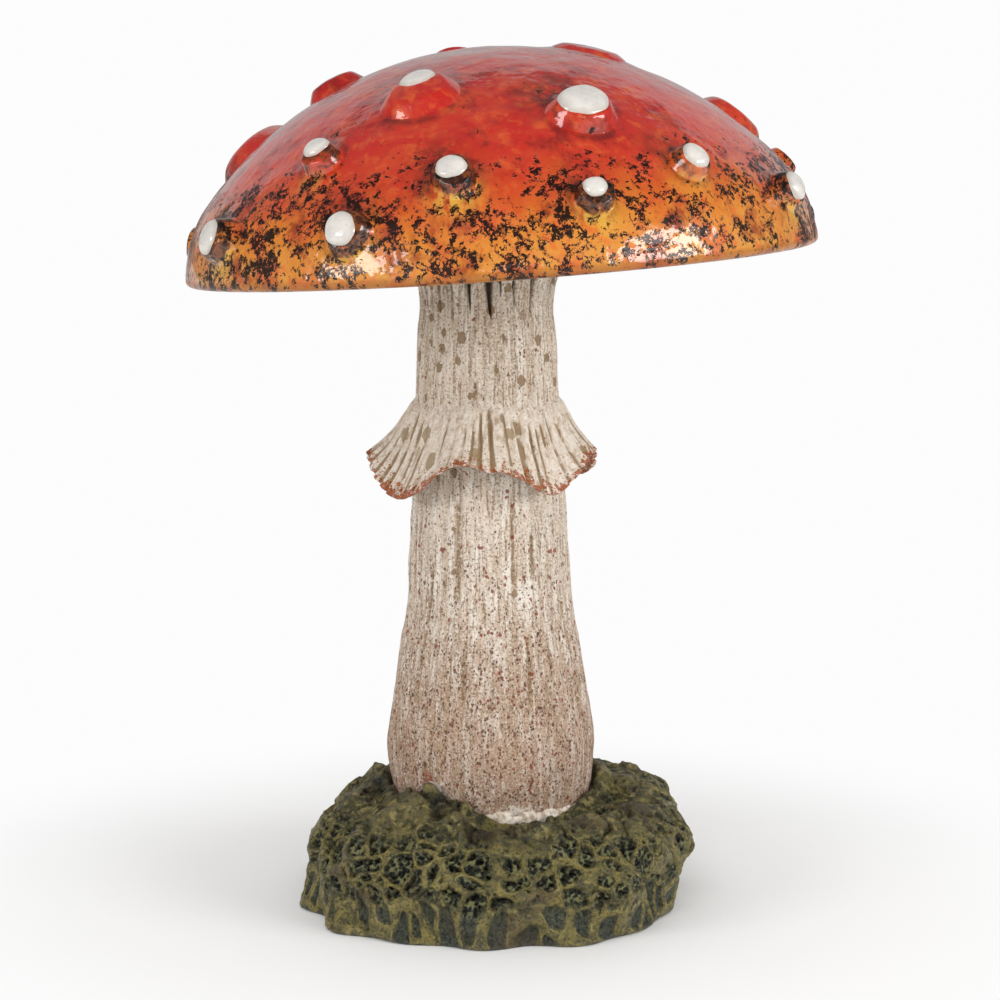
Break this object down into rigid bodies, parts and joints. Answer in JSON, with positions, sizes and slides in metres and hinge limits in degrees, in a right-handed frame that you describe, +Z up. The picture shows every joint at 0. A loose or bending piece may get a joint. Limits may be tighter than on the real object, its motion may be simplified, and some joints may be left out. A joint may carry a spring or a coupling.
{
  "type": "ceramic mushroom ornament",
  "caption": "Tabletop toadstool in ceramic: a red glazed cap with white-tipped warts on a bare combed stalk with a frilled ring, set in a dark green modelled ground.",
  "frame": {"origin": "on the floor, under the middle of the whole ornament's box", "axes": "+Z up, -Y towards the pictured front, +X to the right in that view"},
  "size_m": [0.1187, 0.1166, 0.1615],
  "materials": {
    "cap_glaze": "thick glossy crackled glaze, red at the crown and orange at the rim, with black ink specks",
    "wart_glaze": "the same glaze over raised pads, pooled amber at their feet and dark on their sides",
    "white_enamel": "thick glossy white enamel drops",
    "stalk_bisque": "chalky bare clay, combed lengthwise, tan spots above and rust specks near the foot",
    "ring_bisque": "chalky bare clay with tan grooves and a rust-stained hem",
    "gill_bisque": "bare pinkish buff clay",
    "moss_paint": "tooled clay, dark grey-green in the pits and dry-brushed olive on the ridges, slightly glossy",
    "cement": "matt white cement"
  },
  "bodies": {
    "root": {"moss_base": "moss_paint", "foot_cement": "cement", "stalk": "stalk_bisque", "ring_skirt": "ring_bisque", "cap_cement": "cement", "gill_disc": "gill_bisque", "cap_dome": "cap_glaze", "glaze_dot_01": "white_enamel", "glaze_dot_02": "white_enamel", "glaze_dot_03": "white_enamel", "glaze_dot_04": "white_enamel", "glaze_dot_05": "white_enamel", "glaze_dot_06": "white_enamel", "glaze_dot_07": "white_enamel", "glaze_dot_08": "white_enamel", "glaze_dot_09": "white_enamel", "glaze_dot_17": "white_enamel", "glaze_dot_18": "white_enamel", "glaze_dot_20": "white_enamel", "glaze_dot_21": "white_enamel", "glaze_dot_22": "white_enamel", "glaze_dot_24": "white_enamel", "wart_01": "wart_glaze", "wart_02": "wart_glaze", "wart_03": "wart_glaze", "wart_04": "wart_glaze", "wart_05": "wart_glaze", "wart_06": "wart_glaze", "wart_07": "wart_glaze", "wart_08": "wart_glaze", "wart_09": "wart_glaze", "wart_10": "wart_glaze", "wart_11": "wart_glaze", "wart_12": "wart_glaze", "wart_13": "wart_glaze", "wart_14": "wart_glaze", "wart_15": "wart_glaze", "wart_16": "wart_glaze", "wart_17": "wart_glaze", "wart_18": "wart_glaze", "wart_19": "wart_glaze", "wart_20": "wart_glaze", "wart_21": "wart_glaze", "wart_22": "wart_glaze", "wart_23": "wart_glaze", "wart_24": "wart_glaze"}
  },
  "joints": []
}
